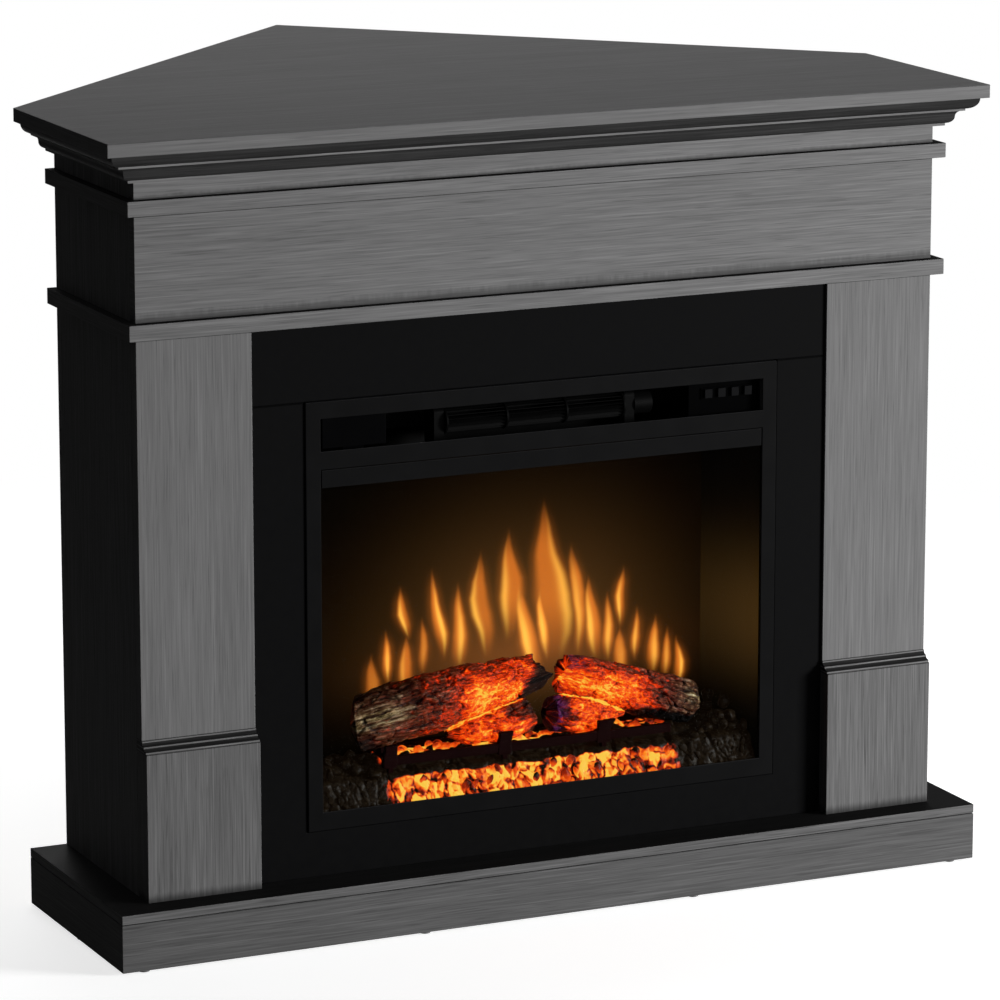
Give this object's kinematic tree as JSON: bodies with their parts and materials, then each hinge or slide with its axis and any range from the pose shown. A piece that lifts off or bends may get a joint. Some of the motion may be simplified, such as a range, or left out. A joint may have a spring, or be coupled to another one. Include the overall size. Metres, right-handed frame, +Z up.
{
  "type": "corner electric fireplace",
  "caption": "Grey wood-grain corner mantel with an electric log-fire insert: flame screen, logs, fan heater and push buttons.",
  "frame": {"origin": "on the floor, under the middle of the bounding box", "axes": "+Z up; -Y is the front that faces the room, +Y points into the room's corner; +X to the right of someone facing the fire"},
  "size_m": [1.052, 0.814, 0.9],
  "materials": {
    "veneer": "satin grey wood-grain foil, grain along the length",
    "veneer_upright": "satin grey wood-grain foil, grain upright",
    "black_board": "matte black painted board",
    "raw_board": "plain board",
    "case_steel": "black powder coat",
    "black_steel": "satin black",
    "liner_steel": "matte black",
    "grate_iron": "matte black",
    "blower_black": "semi-gloss",
    "bright_steel": "plain",
    "heater_alloy": "finned",
    "foil": "bright",
    "pane_glass": "clear",
    "screen_plastic": "smoked diffuser",
    "log_resin": "bark moulded in resin, painted and glowing in its cracks",
    "ember_resin": "clear resin embers, lit from below",
    "circuit_laminate": "plain",
    "window_plastic": "dark",
    "button_plastic": "grey",
    "glide_plastic": "plain"
  },
  "bodies": {
    "cabinet": {"mantel_top": "veneer", "cornice_front": "veneer", "cornice_left": "veneer", "cornice_right": "veneer", "frieze_board": "veneer", "upper_band_front": "veneer", "upper_band_left": "veneer", "upper_band_right": "veneer", "lower_band_front": "veneer", "lower_band_left": "veneer", "lower_band_right": "veneer", "left_side_panel": "veneer", "right_side_panel": "veneer", "left_pilaster": "veneer_upright", "right_pilaster": "veneer_upright", "left_base_moulding": "veneer", "right_base_moulding": "veneer", "left_plinth_block": "veneer_upright", "right_plinth_block": "veneer_upright", "hearth_top_board": "veneer", "hearth_front_board": "veneer", "hearth_left_board": "veneer", "hearth_right_board": "veneer", "hearth_back_rail": "raw_board", "floor_glides": "glide_plastic", "surround_header": "black_board", "surround_panel": "black_board", "left_back_panel": "raw_board", "right_back_panel": "raw_board", "rear_top_rail": "raw_board", "insert_shelf": "raw_board", "insert_case": "case_steel", "rear_cover": "case_steel", "case_screws": "bright_steel", "front_frame": "black_steel", "glass_pane": "pane_glass", "glass_top_trim": "black_steel", "firebox_liner": "liner_steel", "flame_screen": "screen_plastic", "ember_bed": "ember_resin", "log_grate": "grate_iron", "log_left_large": "log_resin", "log_left_small": "log_resin", "log_right_large": "log_resin", "log_right_small": "log_resin", "lamp_board": "circuit_laminate", "spindle_motor": "bright_steel", "blower_bracket": "black_steel", "blower_motor": "bright_steel", "heating_element": "heater_alloy", "receiver_window": "window_plastic", "control_bezel": "window_plastic", "circuit_board": "circuit_laminate", "mains_inlet": "window_plastic"},
    "power_button": {"button_power": "button_plastic"},
    "heat_button": {"button_heat": "button_plastic"},
    "flame_button": {"button_flame": "button_plastic"},
    "timer_button": {"button_timer": "button_plastic"},
    "blower": {"blower_wheel": "blower_black"},
    "spindle": {"flame_spindle": "foil"}
  },
  "joints": [
    {"name": "power_press", "type": "slide", "parent": "cabinet", "child": "power_button", "axis": [0, 1, 0], "range_m": [0, 0.0015], "stiffness_N_per_m": 400},
    {"name": "heat_press", "type": "slide", "parent": "cabinet", "child": "heat_button", "axis": [0, 1, 0], "range_m": [0, 0.0015], "stiffness_N_per_m": 400},
    {"name": "flame_press", "type": "slide", "parent": "cabinet", "child": "flame_button", "axis": [0, 1, 0], "range_m": [0, 0.0015], "stiffness_N_per_m": 400},
    {"name": "timer_press", "type": "slide", "parent": "cabinet", "child": "timer_button", "axis": [0, 1, 0], "range_m": [0, 0.0015], "stiffness_N_per_m": 400},
    {"name": "blower_spin", "type": "hinge", "parent": "cabinet", "child": "blower", "pos_m": [0, -0.322, 0.556], "axis": [1, 0, 0], "continuous": true},
    {"name": "spindle_spin", "type": "hinge", "parent": "cabinet", "child": "spindle", "pos_m": [0, -0.2477, 0.1852], "axis": [1, 0, 0], "continuous": true}
  ]
}
